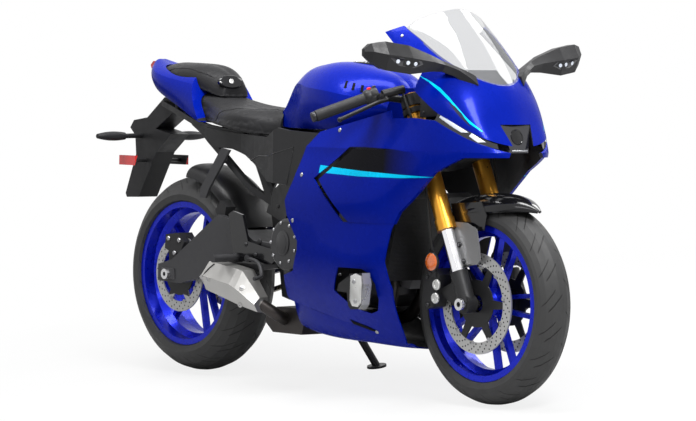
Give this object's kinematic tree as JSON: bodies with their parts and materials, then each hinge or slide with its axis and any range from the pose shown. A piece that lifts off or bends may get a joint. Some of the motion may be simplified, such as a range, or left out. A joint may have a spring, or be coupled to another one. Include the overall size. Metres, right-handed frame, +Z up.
{
  "type": "sport motorcycle",
  "caption": "Fully faired sport motorcycle on its side stand, with turning wheels, steering, a folding stand and a hinged fuel cap.",
  "frame": {"origin": "on the ground, under the middle of the machine's bounding box", "axes": "+X forward, +Y to the rider's left, +Z up; the machine leans 10 degrees to +Y on its side stand"},
  "size_m": [2.0674, 0.851, 1.15],
  "materials": {
    "tyre": "matt",
    "rim_blue": "gloss",
    "disc_steel": "brushed",
    "bright_steel": "satin",
    "gold_anodised": "satin",
    "chrome_steel": "polished",
    "black_metal": "satin",
    "grip_rubber": "matt",
    "blue_paint": "gloss",
    "hose_rubber": "matt",
    "dark_aluminium": "satin",
    "cover_grey": "satin",
    "radiator_black": "satin",
    "header_steel": "satin",
    "silencer_steel": "brushed",
    "chain_steel": "satin",
    "screen_clear": "clear",
    "lamp_lens": "clear",
    "lamp_white": "clear",
    "black_plastic": "satin",
    "seat_cover": "matt",
    "lamp_red": "clear",
    "grey_plastic": "satin",
    "gloss_black": "gloss",
    "reflector_red": "clear"
  },
  "bodies": {
    "root": {"rear_axle": "bright_steel", "frame": "black_metal", "subframe": "black_metal", "engine_block": "dark_aluminium", "engine_covers": "cover_grey", "radiator": "radiator_black", "coolant_bottle": "grey_plastic", "exhaust_headers": "header_steel", "muffler": "silencer_steel", "swingarm": "dark_aluminium", "rear_shock": "black_metal", "rear_caliper": "black_metal", "drive_chain": "chain_steel", "front_sprocket": "disc_steel", "fairing_upper_left": "blue_paint", "fairing_upper_right": "blue_paint", "fairing_lower_left": "blue_paint", "fairing_lower_right": "blue_paint", "belly_pan": "blue_paint", "upper_cowl": "blue_paint", "windscreen": "screen_clear", "headlamp": "lamp_lens", "running_lamps": "lamp_white", "cockpit_cover": "black_plastic", "instrument_panel": "black_plastic", "fuel_tank": "blue_paint", "side_covers": "black_plastic", "rider_seat": "seat_cover", "pillion_seat": "seat_cover", "tail_cowl": "blue_paint", "tail_lamp": "lamp_red", "rear_fender": "black_plastic", "rear_signals": "black_plastic", "rear_reflectors": "reflector_red", "rear_hugger": "black_plastic", "rider_footrests": "dark_aluminium", "pillion_footrests": "dark_aluminium", "mirrors": "black_plastic", "slider_covers": "silencer_steel"},
    "steering": {"fork_tubes": "gold_anodised", "fork_sliders": "chrome_steel", "yokes": "black_metal", "handlebars": "black_metal", "hand_grips": "grip_rubber", "control_levers": "black_metal", "front_fender": "gloss_black", "front_calipers": "black_metal", "front_axle": "bright_steel", "brake_hoses": "hose_rubber"},
    "front_wheel": {"front_tyre": "tyre", "front_rim": "rim_blue", "front_disc_left": "disc_steel", "front_disc_right": "disc_steel"},
    "rear_wheel": {"rear_tyre": "tyre", "rear_rim": "rim_blue", "rear_disc": "disc_steel", "rear_sprocket": "disc_steel"},
    "side_stand": {"side_stand": "black_metal"},
    "fuel_cap": {"fuel_cap": "black_metal"}
  },
  "joints": [
    {"name": "steering", "type": "hinge", "parent": "root", "child": "steering", "pos_m": [0.4978, -0.05005, 0.73241], "axis": [-0.4019, 0.159, 0.9018], "range_deg": [-27, 27]},
    {"name": "front_wheel_spin", "type": "hinge", "parent": "steering", "child": "front_wheel", "pos_m": [0.73373, -0.12689, 0.29664], "axis": [0, 0.9848, -0.1736], "continuous": true},
    {"name": "rear_wheel_spin", "type": "hinge", "parent": "root", "child": "rear_wheel", "pos_m": [-0.66127, -0.12428, 0.31141], "axis": [0, 0.9848, -0.1736], "continuous": true},
    {"name": "side_stand", "type": "hinge", "parent": "root", "child": "side_stand", "pos_m": [-0.14127, 0.00954, 0.20658], "axis": [-0.1362, 0.9905, 0.0169], "range_deg": [0, 98]},
    {"name": "fuel_cap", "type": "hinge", "parent": "root", "child": "fuel_cap", "pos_m": [0.18481, -0.00584, 0.98313], "axis": [0, 0.9848, -0.1736], "range_deg": [0, 95]}
  ]
}
